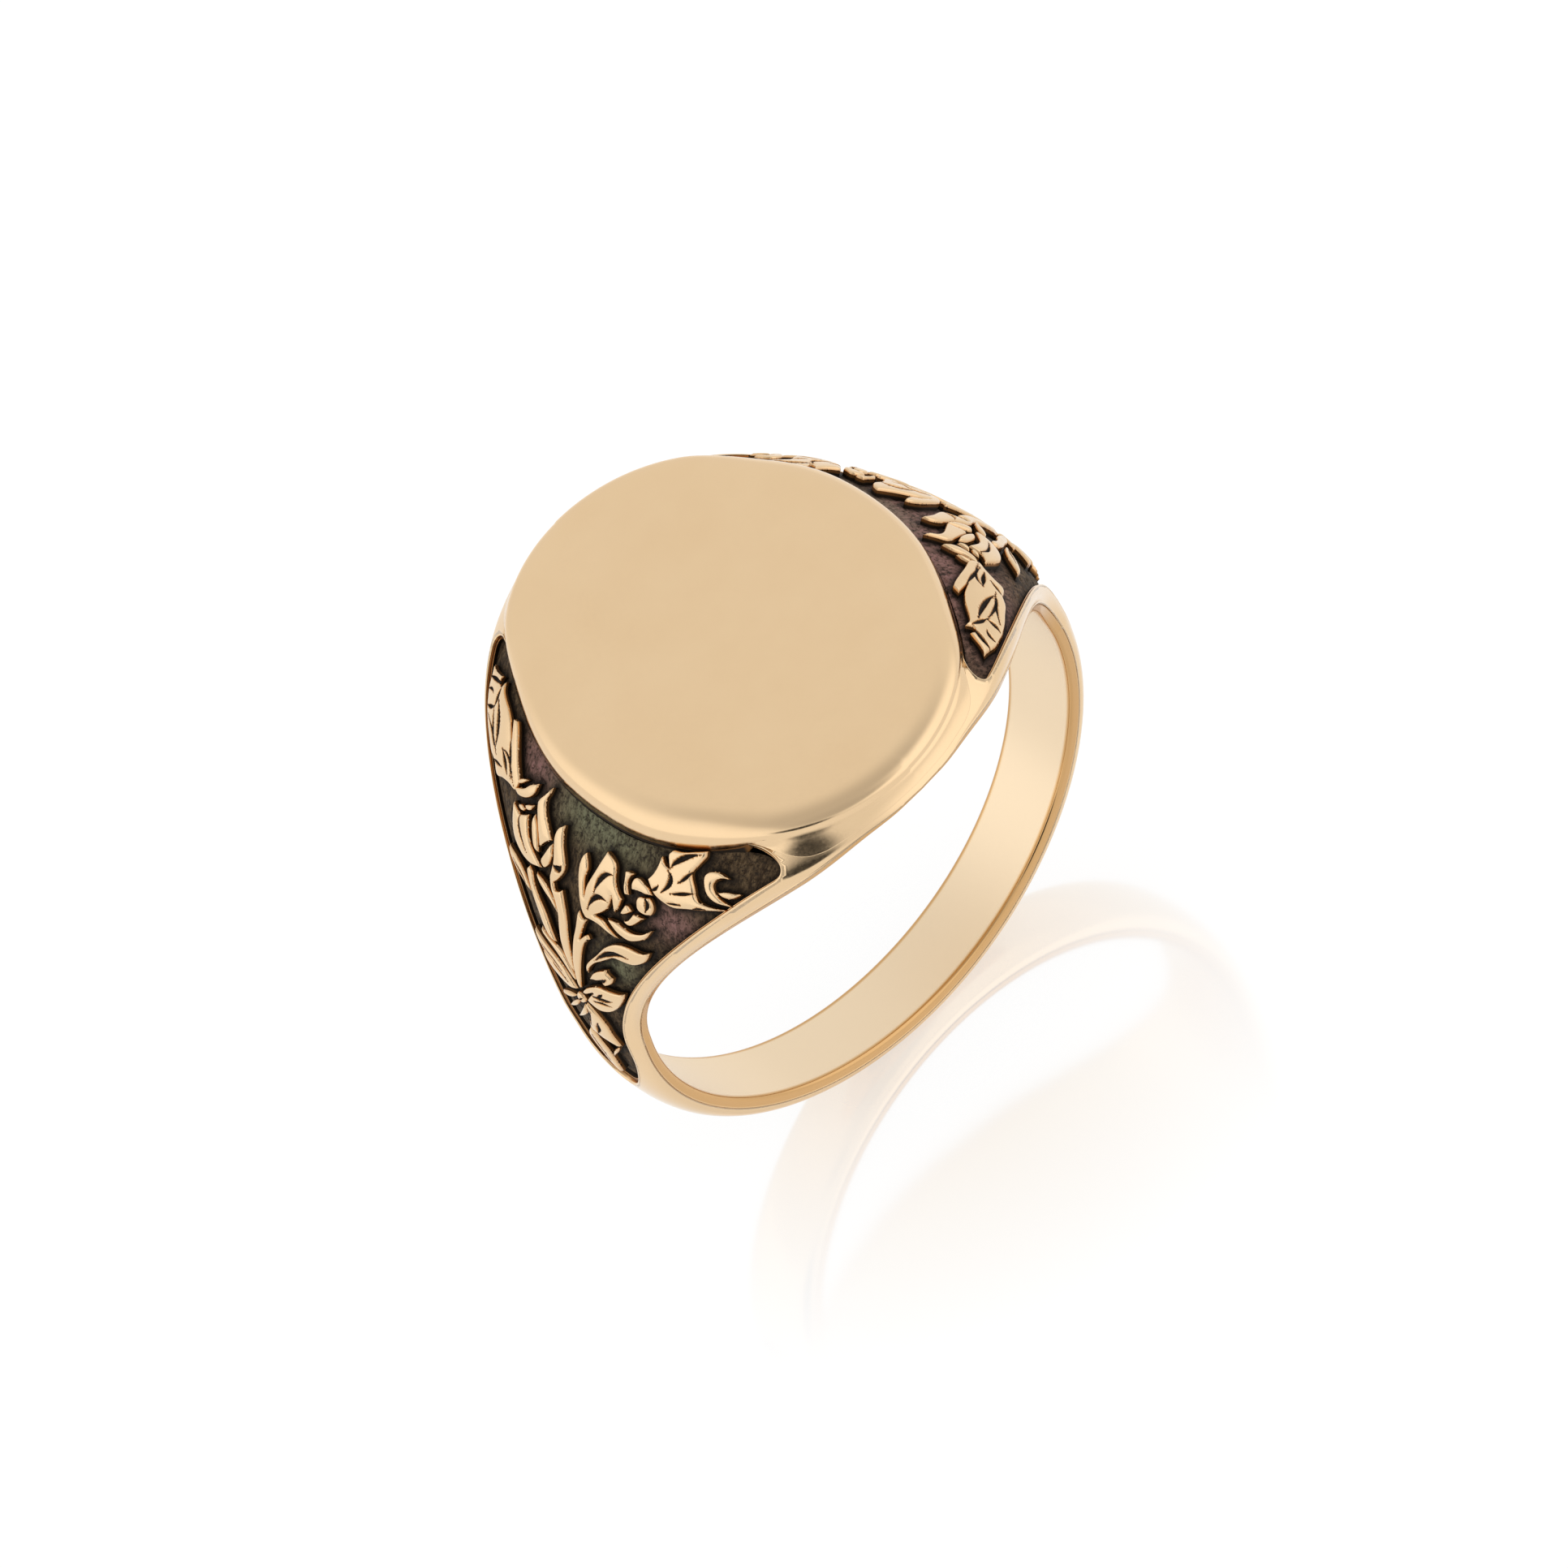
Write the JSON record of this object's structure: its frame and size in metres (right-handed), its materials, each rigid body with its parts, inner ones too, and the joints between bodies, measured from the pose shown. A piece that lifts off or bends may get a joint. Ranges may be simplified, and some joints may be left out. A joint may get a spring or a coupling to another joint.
{
  "type": "signet ring",
  "caption": "Gold signet ring with a plain oval table, a tapering domed shank, and sunk dark shoulder panels that carry raised floral sprays.",
  "frame": {"origin": "centre of the finger bore, midway along the finger", "axes": "+Z through the middle of the table, +Y along the finger away from the viewer, shoulders towards -X and +X"},
  "size_m": [0.0198, 0.0166, 0.0198],
  "materials": {
    "band_gold": "polished gold",
    "table_gold": "smooth polished gold",
    "dark_ground": "oxidised, matt, finely pitted",
    "relief_gold": "polished gold with engraved lines"
  },
  "bodies": {
    "root": {"band": "band_gold", "signet_table": "table_gold", "left_ground": "dark_ground", "right_ground": "dark_ground", "left_bell_flower": "relief_gold", "left_rose_bloom": "relief_gold", "left_side_bloom": "relief_gold", "left_tulip": "relief_gold", "left_rose_stem": "relief_gold", "left_middle_leaf": "relief_gold", "left_side_stem": "relief_gold", "left_far_stem": "relief_gold", "left_far_leaf": "relief_gold", "left_branch_leaf": "relief_gold", "left_far_bow_leaf": "relief_gold", "left_scroll_leaf": "relief_gold", "left_small_leaf": "relief_gold", "left_bow_leaf": "relief_gold", "left_knot": "relief_gold", "left_lower_leaves": "relief_gold", "left_tail_leaf": "relief_gold", "right_bell_flower": "relief_gold", "right_rose_bloom": "relief_gold", "right_side_bloom": "relief_gold", "right_tulip": "relief_gold", "right_rose_stem": "relief_gold", "right_middle_leaf": "relief_gold", "right_side_stem": "relief_gold", "right_far_stem": "relief_gold", "right_far_leaf": "relief_gold", "right_branch_leaf": "relief_gold", "right_far_bow_leaf": "relief_gold", "right_scroll_leaf": "relief_gold", "right_small_leaf": "relief_gold", "right_bow_leaf": "relief_gold", "right_knot": "relief_gold", "right_lower_leaves": "relief_gold", "right_tail_leaf": "relief_gold"}
  },
  "joints": []
}
